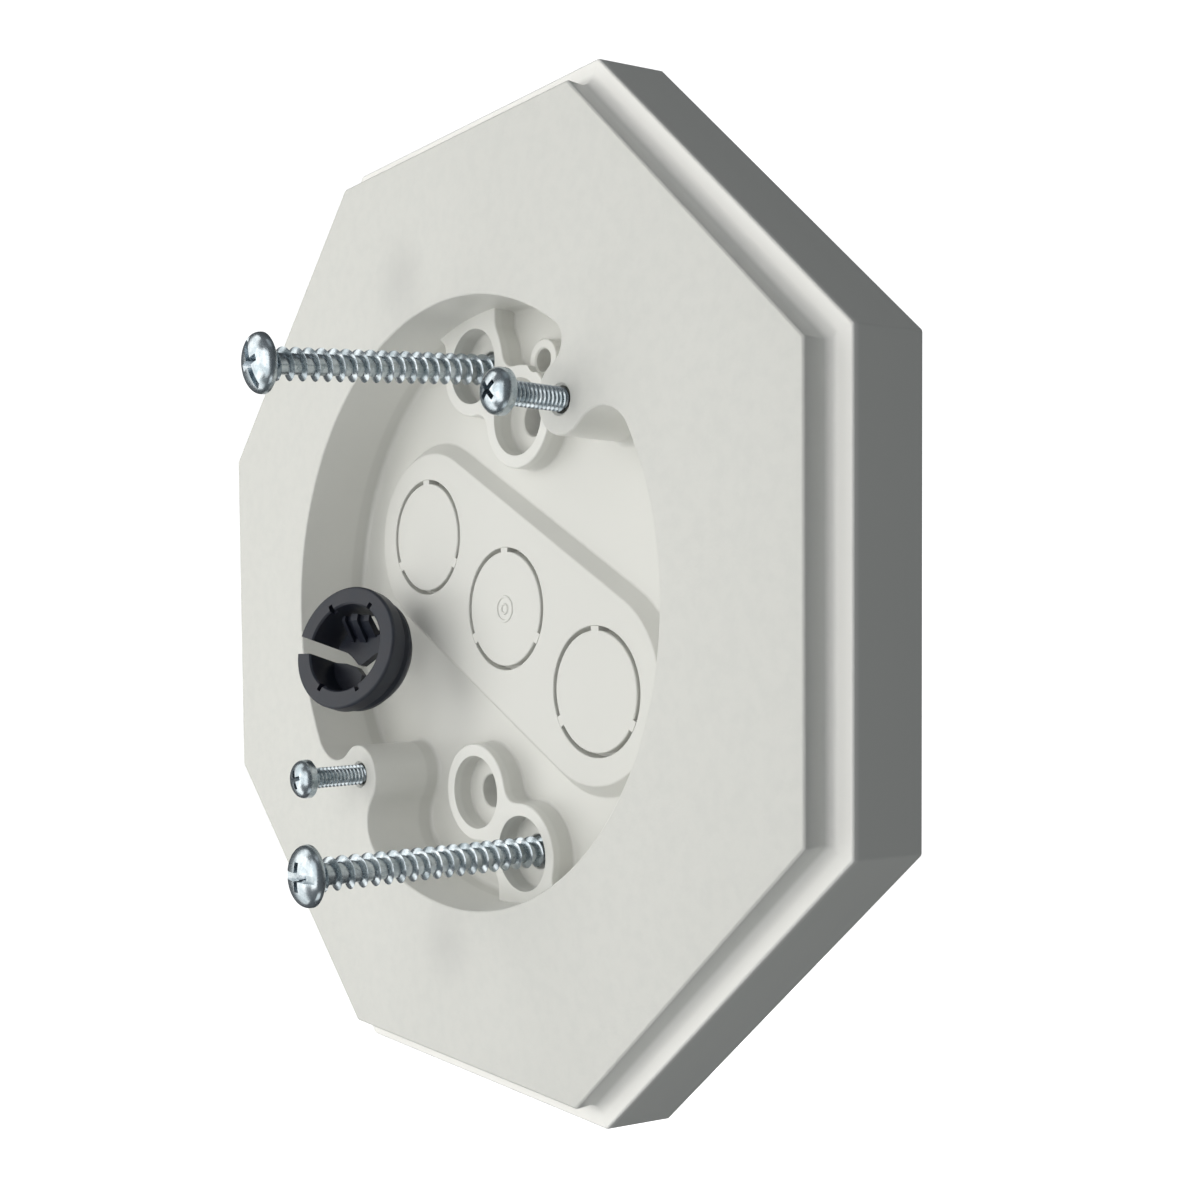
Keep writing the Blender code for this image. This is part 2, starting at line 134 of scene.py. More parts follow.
# Screws, as sizes under and over the head. A thread's shape is (share of a turn, share of its height).
SCREWS = {
    "mounting": {
        "length": 49.6,
        "root_r": 1.8,
        "crest_r": 2.8,
        "pitch": 2.4,
        "head_r": 5.0,
        "head_h": 2.8,
        "rim": 0.45,
        "shape": [(0.0, 0.0), (0.62, 0.0), (0.76, 0.92), (0.79, 1.0), (0.82, 0.92), (0.94, 0.0)],
    },
    "fixture": {
        "length": 12.0,
        "root_r": 1.5,
        "crest_r": 1.95,
        "pitch": 0.8,
        "head_r": 3.65,
        "head_h": 3.3,
        "rim": 1.0,
        "shape": [(0.0, 0.0), (0.12, 0.0), (0.5, 1.0), (0.62, 1.0)],
    },
}
TIP_H = 1.0
TIP_SHARE = 0.66

# Driver slot of the mounting screws, and where the screws' heads stand and how they lean.
SLOT = (30.0, 1.3, 2.4)
SLOT_DEPTH = 1.0
MOUNTING_HEAD_H = 50.2
FIXTURE_HEAD_H = 29.4
UPPER_SCREW_LEAN = math.radians(5.2)
LOWER_SCREW_LEAN = math.radians(-1.4)

# Cable connector, in its own frame: z runs out of its mouth, which looks right and a little up.
CONNECTOR_AT = Vector((-31.2, -7.1, 21.4))
CONNECTOR_TURN = math.radians(17.5)
CONNECTOR_PITCH = math.radians(-15)
BORE_R = 8.6
FLANGE_R = 12.1
FLANGE_T = 3.4
BARREL_R = 10.8
SNAP_R = 11.3
WEB_TOP = -6.9
BARREL_L = 8.6
TONGUE_R = 8.0
NOTCH_ANGLES = (60, 123, 241, 301)
NOTCH = (2.6, 0.95, 2.6)

# Colours, each pair for the two ends of a slow mottle, and the face's two darker spots in metres.
SMOOTH_COLOURS = ((0.77, 0.77, 0.74), (0.79, 0.79, 0.76))
# Painted shade: a darker colour for the recess floor, plateau and knockouts stands in for the shade inside
# the recess.
RECESS_FLOOR_SHADE_COLOUR = (0.71, 0.71, 0.68)
# Painted sheen: a near-white colour on the outer ledges stands in for their glossy highlight.
LEDGE_SHEEN_COLOUR = (0.99, 0.98, 0.95)
FACE_COLOURS = ((0.695, 0.695, 0.665), (0.71, 0.71, 0.68))
FLECK_COLOUR = (0.65, 0.655, 0.63)
SPOT_COLOUR = (0.5, 0.5, 0.49)
FACE_SPOTS = ((-0.014, 0.060), (-0.0024, -0.060))
ZINC_COLOURS = ((0.56, 0.61, 0.65), (0.36, 0.42, 0.46))
BLACK_COLOURS = ((0.010, 0.012, 0.023), (0.015, 0.020, 0.033))

# Lights as name, place, target, size, power in watts and colour.
WARM = (1.0, 0.99, 0.95)
LIGHTS = (
    ("key", (-0.14, -0.5, 0.02), (0.0, 0.0, 0.0), (0.34, 0.42), 0.63, WARM),
    ("left_fill", (-0.23, -0.24, 0.0), (-0.06, 0.0, 0.0), (0.2, 0.9), 0.84, WARM),
    ("front_fill", (0.065, -0.24, 0.0), (-0.04, 0.0, 0.0), (0.16, 0.3), 0.235, (1.0, 0.99, 0.96)),
    ("high_fill", (0.35, -0.1, 0.93), (0.0, 0.0, 0.0), (0.5, 0.5), 0.3, (0.95, 0.99, 1.0)),
    ("low_fill", (0.35, -0.1, -0.93), (0.0, 0.0, 0.0), (0.5, 0.5), 0.75, (0.97, 1.0, 0.98)),
    ("back_fill", (-0.35, 1.0, 0.2), (0.0, 0.0, 0.0), (0.6, 0.6), 6.0, (1.0, 1.0, 1.0)),
)

# Camera: where it stands, the way it looks from the front in radians, and its lens in millimetres.
CAMERA_AT = (0.19686, -0.1552, -0.00453)
CAMERA_AZIMUTH = 0.87684
CAMERA_ELEVATION = 0.04003
CAMERA_ROLL = -0.0089
CAMERA_LENS = 40.792
CAMERA_SHIFT = (0.0261, 0.0715)

# Studio floor, in metres.
FLOOR_Z = -0.32
FLOOR_FLAT_R = 2.2
FLOOR_CURVE_R = 0.8
BACKDROP_H = 4.5


# ---------------------------------------------------------------- outlines

def from_polar(radius, angle):
    return Vector((radius * math.cos(angle), radius * math.sin(angle)))


def arc(centre, radius, start, end, count):
    return [centre + from_polar(radius, start + (end - start) * i / count) for i in range(count + 1)]


def circle(centre, radius, count):
    return [centre + from_polar(radius, math.tau * i / count) for i in range(count)]


def octagon(half, corner_r=CORNER_R, steps=4):
    """Octagon with upright and level flats and slightly rounded corners."""
    points = []
    eighth = math.tau / 8
    for i in range(8):
        centre = from_polar((half - corner_r) / math.cos(eighth / 2), eighth * (i + 0.5))
        points += arc(centre, corner_r, eighth * i, eighth * (i + 1), steps)
    return points


def stadium(reach, radius, angle, count=28):
    axis = from_polar(1.0, angle)
    quarter = math.pi / 2
    right = arc(axis * reach, radius, angle - quarter, angle + quarter, count)
    left = arc(-axis * reach, radius, angle + quarter, angle + 3 * quarter, count)
    return right + left


def plateau_stadium(radius):
    return [PLATEAU_AT + point for point in stadium(PLATEAU_REACH, radius, PLATEAU_ANGLE)]


def round_union(a, b, radius):
    corner = math.hypot(max(radius - a, 0.0), max(radius - b, 0.0))
    return max(radius, min(a, b)) - corner


def pad_field(wide_centre, narrow_centre):
    """Distance to the pad round two mounting holes and to the wall that it joins, negative inside them."""
    def field(point):
        wide = (point - wide_centre).length - PAD_RING_R
        narrow = (point - narrow_centre).length - PAD_RING_R
        pad = round_union(wide, narrow, PAD_WAIST_R)
        joined = round_union(pad, RECESS_R - point.length, WALL_FILLET_R)
        return max(joined, point.length - RECESS_R - CUP_WALL / 2)
    return field


def crossing(field, centre, angle):
    direction = from_polar(1.0, angle)
    start_sign = field(centre) > 0
    reach = 0.25
    while (field(centre + direction * reach) > 0) == start_sign:
        reach += 0.25
    low = reach - 0.25
    for _ in range(20):
        middle = (low + reach) / 2
        if (field(centre + direction * middle) > 0) == start_sign:
            low = middle
        else:
            reach = middle
    return centre + direction * reach


def even(points, step):
    """The same closed line with points about a step apart."""
    closed = points + points[:1]
    lengths = [0.0]
    for a, b in zip(closed, closed[1:]):
        lengths.append(lengths[-1] + (b - a).length)
    count = round(lengths[-1] / step)
    result = []
    segment = 0
    for i in range(count):
        target = lengths[-1] * i / count
        while lengths[segment + 1] < target:
            segment += 1
        share = (target - lengths[segment]) / (lengths[segment + 1] - lengths[segment])
        result.append(closed[segment].lerp(closed[segment + 1], share))
    return result


def outline(field, centre, step, rays=1440):
    return even([crossing(field, centre, math.tau * i / rays) for i in range(rays)], step)


def boss_fillet(radius):
    """Centre of a fillet beside a fixture boss, as radius and swing, and the angle where it meets it."""
    inside_r = RECESS_R - radius
    reach = FIXTURE_BOSS_R + radius
    swing = math.acos((inside_r ** 2 + BOSS_AT ** 2 - reach ** 2) / (2 * inside_r * BOSS_AT))
    lean = math.pi - math.acos((BOSS_AT ** 2 + reach ** 2 - inside_r ** 2) / (2 * BOSS_AT * reach))
    return inside_r, swing, lean


def recess_outline():
    """The recess wall, flowing round its two fixture bosses through a fillet on each side of them."""
    points = []
    wall_start = FIXTURE_ANGLE - math.pi + boss_fillet(BOSS_FILLETS[1][1])[1]
    for angle, (before_r, after_r) in zip((FIXTURE_ANGLE, FIXTURE_ANGLE + math.pi), BOSS_FILLETS):
        inside, swing, lean = boss_fillet(before_r)
        points += arc(ORIGIN, RECESS_R, wall_start, angle - swing, 120)
        centre = from_polar(inside, angle - swing)
        points += arc(centre, before_r, angle - swing, angle + math.pi - lean, 40)
        inside, swing, after_lean = boss_fillet(after_r)
        cap = from_polar(BOSS_AT, angle)
        points += arc(cap, FIXTURE_BOSS_R, angle - lean, angle + after_lean - math.tau, 48)
        centre = from_polar(inside, angle + swing)
        points += arc(centre, after_r, angle + after_lean - math.pi, angle + swing, 40)
        wall_start = angle + swing
    return even(points, WALL_STEP)


def grown(points, distance, buried=RECESS_R + 0.3):
    """An anticlockwise outline moved outwards along its normals, but not where the wall buries it."""
    result = []
    for i, point in enumerate(points):
        tangent = (points[(i + 1) % len(points)] - points[i - 1]).normalized()
        shown = 1.0 if point.length < buried else 0.0
        result.append(point + Vector((tangent.y, -tangent.x)) * distance * shown)
    return result


# ---------------------------------------------------------------- meshes

def made(name, verts, faces):
    mesh = bpy.data.meshes.new(name)
    mesh.from_pydata(verts, [], faces)
    work = bmesh.new()
    work.from_mesh(mesh)
    bmesh.ops.remove_doubles(work, verts=work.verts, dist=0.0005)
    bmesh.ops.recalc_face_normals(work, faces=work.faces)
    work.to_mesh(mesh)
    work.free()
    return mesh


def lofted(name, rings):
    """A closed solid through flat rings of (outline, height), with its two ends capped."""
    count = len(rings[0][0])
    verts = [(p.x, p.y, height) for points, height in rings for p in points]
    faces = []
    for k in range(len(rings) - 1):
        for i in range(count):
            j = (i + 1) % count
            faces.append((k * count + i, k * count + j, (k + 1) * count + j, (k + 1) * count + i))
    last = (len(rings) - 1) * count
    faces.append(tuple(reversed(range(count))))
    faces.append(tuple(range(last, last + count)))
    return made(name, verts, faces)


def swept(name, points, profile):
    return lofted(name, [(grown(points, offset), height) for offset, height in profile])


def turned(name, centre, profile, count=72):
    """A round solid from (radius, height) pairs that start and end off the axis."""
    return lofted(name, [(circle(centre, radius, count), height) for radius, height in profile])


def tube(name, profile, count=96):
    """A round solid with a hole down its middle, from a closed loop of (radius, height)."""
    verts = []
    faces = []
    rows = len(profile)
    for radius, height in profile:
        verts += [(p.x, p.y, height) for p in circle(ORIGIN, radius, count)]
    for k in range(rows):
        for i in range(count):
            j = (i + 1) % count
            below = (k + 1) % rows
            faces.append((k * count + i, k * count + j, below * count + j, below * count + i))
    return made(name, verts, faces)


def block(name, size, matrix):
    work = bmesh.new()
    bmesh.ops.create_cube(work, size=1.0, matrix=matrix @ Matrix.Diagonal((*size, 1.0)))
    mesh = bpy.data.meshes.new(name)
    work.to_mesh(mesh)
    work.free()
    return mesh


def tapered(name, top, bottom, height, matrix):
    """A block whose foot is smaller than its head, hanging below z = 0."""
    rings = []
    for (width, depth), level in ((top, 0.0), (bottom, -height)):
        corners = [(1, 1), (-1, 1), (-1, -1), (1, -1)]
        rings.append(([Vector((sx * width / 2, sy * depth / 2)) for sx, sy in corners], level))
    mesh = lofted(name, rings)
    mesh.transform(matrix)
    return mesh


def together(name, meshes):
    """Several separate solids as one mesh."""
    work = bmesh.new()
    for mesh in meshes:
        work.from_mesh(mesh)
        bpy.data.meshes.remove(mesh)
    mesh = bpy.data.meshes.new(name)
    work.to_mesh(mesh)
    work.free()
    return mesh


def combined(mesh, other, operation):
    """The union, difference or intersection of two closed meshes."""
    scene = bpy.context.scene.collection.objects
    target = bpy.data.objects.new("target", mesh)
    tool = bpy.data.objects.new("tool", other)
    scene.link(target)
    scene.link(tool)
    modifier = target.modifiers.new("shape", "BOOLEAN")
    modifier.operation = operation
    modifier.solver = "EXACT"
    modifier.object = tool
    graph = bpy.context.evaluated_depsgraph_get()
    result = bpy.data.meshes.new_from_object(target.evaluated_get(graph))
    bpy.data.objects.remove(target, do_unlink=True)
    bpy.data.objects.remove(tool, do_unlink=True)
    bpy.data.meshes.remove(mesh)
    bpy.data.meshes.remove(other)
    return result


def rounded(radius, start, end, centre_offset, centre_height, steps=4):
    """Points of a small fillet as (offset, height), angles from the outward direction."""
    result = []
    for i in range(steps + 1):
        angle = start + (end - start) * i / steps
        result.append(
            (centre_offset + radius * math.cos(angle), centre_height + radius * math.sin(angle))
        )
    return result


def bottom_fillet(offset, floor, radius, steps=4):
    """From a wall at that offset down to the floor of a cut, as (offset, height)."""
    return rounded(radius, 0.0, -math.pi / 2, offset - radius, floor + radius, steps)


def top_round(offset, top, radius, steps=3):
    """From the flat top of a boss over its rounded rim, as (offset, height)."""
    return rounded(radius, math.pi / 2, 0.0, offset - radius, top - radius, steps)


def flared_mouth(offset, top, radius, steps=3):
    """From a cut's rounded mouth in a flat top down to its wall, as (offset, height)."""
    result = []
    for i in range(steps + 1):
        angle = math.pi / 2 * i / steps
        result.append((offset + radius * (1 - math.sin(angle)), top - radius * (1 - math.cos(angle))))
    return result


def foot_flare(offset, floor, radius, steps=3):
    """From a boss's wall down a small fillet that spreads onto the floor, as (offset, height)."""
    result = []
    for i in range(steps + 1):
        angle = math.pi / 2 * i / steps
        result.append((offset + radius * (1 - math.cos(angle)), floor + radius * (1 - math.sin(angle))))
    return result


# ---------------------------------------------------------------- materials

class Nodes:
    """Short names for wiring up one material."""

    def __init__(self, name):
        self.material = bpy.data.materials.new(name)
        self.material.use_nodes = True
        self.tree = self.material.node_tree
        self.shader = self.tree.nodes["Principled BSDF"]

    def add(self, kind, **values):
        node = self.tree.nodes.new(kind)
        for key, value in values.items():
            setattr(node, key, value)
        return node

    def link(self, source, target):
        self.tree.links.new(source, target)

    def place(self):
        return self.add("ShaderNodeTexCoord").outputs["Object"]

    def noise(self, scale, detail=3.0, rough=0.5):
        node = self.add("ShaderNodeTexNoise")
        node.inputs["Scale"].default_value = scale
        node.inputs["Detail"].default_value = detail
        node.inputs["Roughness"].default_value = rough
        self.link(self.place(), node.inputs["Vector"])
        return node.outputs["Fac"]

    def math(self, operation, *values, clamp=False):
        node = self.add("ShaderNodeMath", operation=operation, use_clamp=clamp)
        for i, value in enumerate(values):
            if isinstance(value, (int, float)):
                node.inputs[i].default_value = value
            else:
                self.link(value, node.inputs[i])
        return node.outputs[0]

    def spread(self, value, low, high, to_low, to_high):
        node = self.add("ShaderNodeMapRange")
        for key, setting in zip(("From Min", "From Max", "To Min", "To Max"), (low, high, to_low, to_high)):
            if isinstance(setting, (int, float)):
                node.inputs[key].default_value = setting
            else:
                self.link(setting, node.inputs[key])
        self.link(value, node.inputs["Value"])
        return node.outputs["Result"]

    def mixed(self, share, first, second):
        node = self.add("ShaderNodeMix", data_type="RGBA")
        self.link(share, node.inputs[0])
        for socket, value in ((node.inputs[6], first), (node.inputs[7], second)):
            if isinstance(value, tuple):
                socket.default_value = (*value, 1.0)
            else:
                self.link(value, socket)
        return node.outputs[2]

    def bump(self, height, strength, distance):
        node = self.add("ShaderNodeBump")
        node.inputs["Strength"].default_value = strength
        node.inputs["Distance"].default_value = distance
        self.link(height, node.inputs["Height"])
        self.link(node.outputs["Normal"], self.shader.inputs["Normal"])


def moulded_plastic():
    nodes = Nodes("moulded_plastic")
    place = nodes.add("ShaderNodeSeparateXYZ")
    nodes.link(nodes.place(), place.inputs[0])
    on_face = nodes.spread(place.outputs["Y"], -0.0184, -0.01848, 0.0, 1.0)
    cloud = nodes.spread(nodes.noise(14.0, 2.0), 0.35, 0.65, 0.0, 1.0)
    grain = nodes.noise(1100.0, 4.0, 0.7)
    mottle = nodes.noise(420.0, 3.0, 0.6)
    inside = nodes.mixed(cloud, *SMOOTH_COLOURS)
    near_ledge = nodes.math("ABSOLUTE", nodes.math("ADD", place.outputs["Y"], LEDGE_H * MM))
    ledge_sheen_mask = nodes.spread(near_ledge, 0.0012, 0.0006, 0.0, 1.0)
    from_middle = nodes.math(
        "ADD",
        nodes.math("POWER", place.outputs["X"], 2.0),
        nodes.math("POWER", place.outputs["Z"], 2.0),
    )
    outer = nodes.spread(from_middle, 0.0055, 0.006, 0.0, 1.0)
    low_down = nodes.spread(place.outputs["Y"], -0.0070, -0.0064, 0.0, 1.0)
    # Painted shade: the floor, plateau and knockouts deep in the recess take a darker colour in place of the
    # shade there.
    recess_shade_mask = nodes.math("MULTIPLY", low_down, nodes.math("SUBTRACT", 1.0, outer))
    inside = nodes.mixed(recess_shade_mask, inside, RECESS_FLOOR_SHADE_COLOUR)
    # Painted sheen: the outer ledges take a near-white colour in place of a glossy highlight.
    smooth = nodes.mixed(nodes.math("MULTIPLY", ledge_sheen_mask, outer), inside, LEDGE_SHEEN_COLOUR)
    textured = nodes.mixed(cloud, *FACE_COLOURS)
    base = nodes.mixed(on_face, smooth, textured)
    fleck = nodes.math("MULTIPLY", nodes.spread(mottle, 0.4, 0.66, 0.0, 0.4), on_face)
    speckled = nodes.mixed(fleck, base, FLECK_COLOUR)
    spots = None
    for x, z in FACE_SPOTS:
        near = nodes.math(
            "POWER",
            nodes.math(
                "ADD",
                nodes.math("POWER", nodes.math("SUBTRACT", place.outputs["X"], x), 2.0),
                nodes.math("POWER", nodes.math("SUBTRACT", place.outputs["Z"], z), 2.0),
            ),
            0.5,
        )
        spot = nodes.spread(near, 0.0085, 0.001, 0.0, 1.0)
        spots = spot if spots is None else nodes.math("MAXIMUM", spots, spot)
    soft = nodes.math("MULTIPLY", nodes.math("MULTIPLY", spots, on_face), 0.35)
    nodes.link(nodes.mixed(soft, speckled, SPOT_COLOUR), nodes.shader.inputs["Base Color"])
    face_rough = nodes.spread(grain, 0.3, 0.7, 0.5, 0.62)
    nodes.link(nodes.spread(on_face, 0.0, 1.0, 0.32, face_rough), nodes.shader.inputs["Roughness"])
    height = nodes.math("MULTIPLY", grain, nodes.spread(on_face, 0.0, 1.0, 0.12, 1.0))
    nodes.bump(height, 0.35, 0.00012)
    return nodes.material


def zinc_steel():
    nodes = Nodes("zinc_steel")
    cloud = nodes.noise(520.0, 3.0, 0.6)
    fine = nodes.noise(4200.0, 2.0, 0.6)
    share = nodes.spread(cloud, 0.38, 0.64, 0.0, 1.0)
    colour = nodes.mixed(share, *ZINC_COLOURS)
    nodes.link(colour, nodes.shader.inputs["Base Color"])
    nodes.shader.inputs["Metallic"].default_value = 1.0
    nodes.link(nodes.spread(cloud, 0.3, 0.7, 0.17, 0.32), nodes.shader.inputs["Roughness"])
    nodes.bump(fine, 0.12, 0.00005)
    return nodes.material


def black_plastic():
    nodes = Nodes("black_plastic")
    cloud = nodes.noise(260.0, 4.0, 0.6)
    grain = nodes.noise(2400.0, 3.0, 0.6)
    colour = nodes.mixed(nodes.spread(cloud, 0.35, 0.65, 0.0, 1.0), *BLACK_COLOURS)
    nodes.link(colour, nodes.shader.inputs["Base Color"])
    nodes.link(nodes.spread(cloud, 0.3, 0.7, 0.40, 0.52), nodes.shader.inputs["Roughness"])
    nodes.bump(grain, 0.2, 0.00006)
    return nodes.material


# ---------------------------------------------------------------- placing pieces

def show(mesh, name, matrix, body, material, nodes, sharp=35):
    """Puts a finished mesh in the scene in place of its CAD nodes."""
    mesh.transform(matrix)
    mesh.name = name
    mesh.materials.clear()
    mesh.materials.append(material)
    mesh.shade_smooth()
    mesh.set_sharp_from_angle(angle=math.radians(sharp))
    piece = bpy.data.objects.new(name, mesh)
    bpy.context.scene.collection.objects.link(piece)
    normals = piece.modifiers.new("even_shading", "WEIGHTED_NORMAL")
    normals.keep_sharp = True
    normals.weight = 80
    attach(piece, body)
    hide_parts(*nodes)
    return piece


def hole_centres(spacing, angle):
    first = from_polar(spacing / 2, angle)
    return [first, -first]


def narrow_centres():
    lower, upper = hole_centres(NARROW_SPACING, NARROW_HOLE_ANGLE)
    return [lower, upper + UPPER_NARROW_SHIFT]


def knockout_centres():
    axis = from_polar(1.0, PLATEAU_ANGLE)
    return [PLATEAU_AT + axis * KNOCKOUT_PITCH * i for i in (-1, 0, 1)]


# ---------------------------------------------------------------- the mounting block

def octagon_shell():
    rings = top_round(FACE_HALF, FACE_H, FACE_EDGE_R)
    rings += foot_flare(FACE_HALF, LEDGE_H, COVE_R, 7)
    rings += top_round(LEDGE_HALF, LEDGE_H, LEDGE_EDGE_R)
    rings += [(BACK_HALF, BACK_EDGE), (BACK_HALF - BACK_EDGE, 0.0)]
    rings += [
        (BACK_HALF - SHELL_T, 0.0),
        (LEDGE_HALF - SHELL_T, LEDGE_H - SHELL_T),
        (FACE_HALF - SHELL_T, FACE_H - SHELL_T),
    ]
    return lofted("shell", [(octagon(half), height) for half, height in rings])


def rib_meshes():
    corner = 1 / math.cos(math.pi / 8)
    inner = RECESS_R + CUP_WALL / 2
    outer = LEDGE_HALF * corner - SHELL_T / 2
    low = 1.0
    high = LEDGE_H - SHELL_T / 2
    ribs = []
    for i in range(RIB_COUNT):
        turn = Matrix.Rotation(math.tau * (i + 0.5) / RIB_COUNT, 4, "Z")
        place = turn @ Matrix.Translation(((inner + outer) / 2, 0.0, (low + high) / 2))
        ribs.append(block("rib", (outer - inner, RIB_T, high - low), place))
    return together("ribs", ribs)


def boss_meshes():
    """The two screw pads and the ground-screw boss."""
    foot = FLOOR_H - BURIED
    profile = top_round(0.0, PAD_H, 0.35) + foot_flare(0.0, FLOOR_H, 0.5) + [(0.5, foot)]
    wide = hole_centres(WIDE_SPACING, WIDE_HOLE_ANGLE)
    pads = []
    for wide_hole, narrow_hole in zip(wide, narrow_centres()):
        points = outline(pad_field(wide_hole, narrow_hole), (wide_hole + narrow_hole) / 2, PAD_STEP)
        pads.append(swept("pad", points, profile))
    boss = top_round(GROUND_BOSS_R, GROUND_BOSS_H, 0.3) + foot_flare(GROUND_BOSS_R, FLOOR_H, 0.4)
    boss.append((GROUND_BOSS_R + 0.4, foot))
    return pads + [turned("ground_boss", GROUND_BOSS_AT, boss, 48)]


def hole_meshes():
    above = FACE_H + PAST
    below = -PAST
    cutters = []
    for centre in hole_centres(WIDE_SPACING, WIDE_HOLE_ANGLE) + narrow_centres():
        profile = [(COUNTERBORE_R + 0.25, above)] + flared_mouth(COUNTERBORE_R, PAD_H, 0.25, 2)
        profile += bottom_fillet(COUNTERBORE_R, COUNTERBORE_H, 0.4)
        profile += [(CLEARANCE_R + 0.2, COUNTERBORE_H), (CLEARANCE_R, COUNTERBORE_H - 0.2)]
        profile.append((CLEARANCE_R, below))
        cutters.append(turned("mounting_hole", centre, profile))
    for centre in hole_centres(WIDE_SPACING, FIXTURE_ANGLE):
        profile = [(FIXTURE_PILOT_R + 0.4, above), (FIXTURE_PILOT_R + 0.4, FACE_H)]
        profile += [(FIXTURE_PILOT_R, FACE_H - 0.4), (FIXTURE_PILOT_R, FLOOR_H + 0.6), (0.8, FLOOR_H)]
        cutters.append(turned("pilot", centre, profile, 40))
    profile = [(GROUND_HOLE_R + 0.25, above), (GROUND_HOLE_R + 0.25, GROUND_BOSS_H)]
    profile += [(GROUND_HOLE_R, GROUND_BOSS_H - 0.25), (GROUND_HOLE_R, 1.5)]
    cutters.append(turned("ground_hole", GROUND_BOSS_AT, profile, 40))
    for centre in knockout_centres():
        profile = [(KNOCKOUT_HOLE_R + 0.12, above), (KNOCKOUT_HOLE_R + 0.12, PLATEAU_H)]
        profile += [(KNOCKOUT_HOLE_R, PLATEAU_H - 0.12), (KNOCKOUT_HOLE_R, below)]
        cutters.append(turned("knockout_hole", centre, profile, 96))
    return together("holes", cutters)


def make_block(material):
    shell = octagon_shell()
    cup_top = FACE_H - SHELL_T / 2
    cup = turned("cup", ORIGIN, [(RECESS_R + CUP_WALL, cup_top), (RECESS_R + CUP_WALL, 0.0)], 160)
    shell = combined(shell, cup, "UNION")
    shell = combined(shell, rib_meshes(), "UNION")
    profile = [(MOUTH_R, FACE_H + PAST)] + flared_mouth(0.0, FACE_H, MOUTH_R)
    profile += bottom_fillet(0.0, FLOOR_H, FLOOR_FILLET_R)
    recess = swept("recess", recess_outline(), profile)
    shell = combined(shell, recess, "DIFFERENCE")
    top_r = PLATEAU_TOP_R
    foot_r = PLATEAU_FOOT_R
    levels = [(top_r - 0.35, PLATEAU_H), (top_r - 0.1, PLATEAU_H - 0.05), (top_r + 0.08, PLATEAU_H - 0.2)]
    levels += [(foot_r - 0.12, FLOOR_H + 0.22), (foot_r + 0.12, FLOOR_H + 0.05), (foot_r + 0.4, FLOOR_H)]
    levels.append((foot_r + 0.4, FLOOR_H - BURIED))
    shell = combined(shell, lofted("plateau", [(plateau_stadium(r), h) for r, h in levels]), "UNION")
    pocket = plateau_stadium(POCKET_R)
    shell = combined(shell, lofted("pocket", [(pocket, POCKET_H), (pocket, -PAST)]), "DIFFERENCE")
    for boss in boss_meshes():
        shell = combined(shell, boss, "UNION")
    shell = combined(shell, hole_meshes(), "DIFFERENCE")
    show(shell, "moulded_block", PLAN, "block", material, ["mounting_block"])


# ---------------------------------------------------------------- knockouts

def knockout_outline(radius):
    """A disc whose three bridges reach the edge of its hole."""
    reach = KNOCKOUT_HOLE_R - 0.03
    half = math.asin(BRIDGE_W / 2 / reach)
    points = []
    start = BRIDGE_ANGLES[-1] - math.tau + half
    for angle in BRIDGE_ANGLES:
        points += arc(ORIGIN, radius, start, angle - half, 26)
        points += arc(ORIGIN, reach, angle - half, angle + half, 3)
        start = angle + half
    return points


def make_knockouts(material):
    names = ("upper_left", "middle", "lower_right")
    for name, centre in zip(names, knockout_centres()):
        rings = [(knockout_outline(KNOCKOUT_R - 0.15), PLATEAU_H - 0.02)]
        edge = knockout_outline(KNOCKOUT_R)
        rings += [(edge, PLATEAU_H - 0.17), (edge, POCKET_H)]
        disc = lofted("disc", rings)
        skin = turned("skin", ORIGIN, [(SKIN_R, POCKET_H + SKIN_T), (SKIN_R, POCKET_H + 0.01)], 96)
        disc = combined(disc, skin, "UNION")
        if name == "middle":
            for inner, outer in GATE_RINGS:
                rim = [(inner, 0.0), (inner + 0.15, GATE_RING_H), (outer - 0.15, GATE_RING_H), (outer, 0.0)]
                ring = tube("gate_mark", rim + [(outer, -0.5), (inner, -0.5)], 48)
                ring.transform(Matrix.Translation((0.0, 0.0, PLATEAU_H - 0.02)))
                disc = combined(disc, ring, "UNION")
        place = PLAN @ Matrix.Translation((centre.x, centre.y, 0.0))
        show(
            disc, f"knockout_disc_{name}", place, f"{name}_knockout", material,
            [f"knockout_{name}"],
        )


# ---------------------------------------------------------------- screws

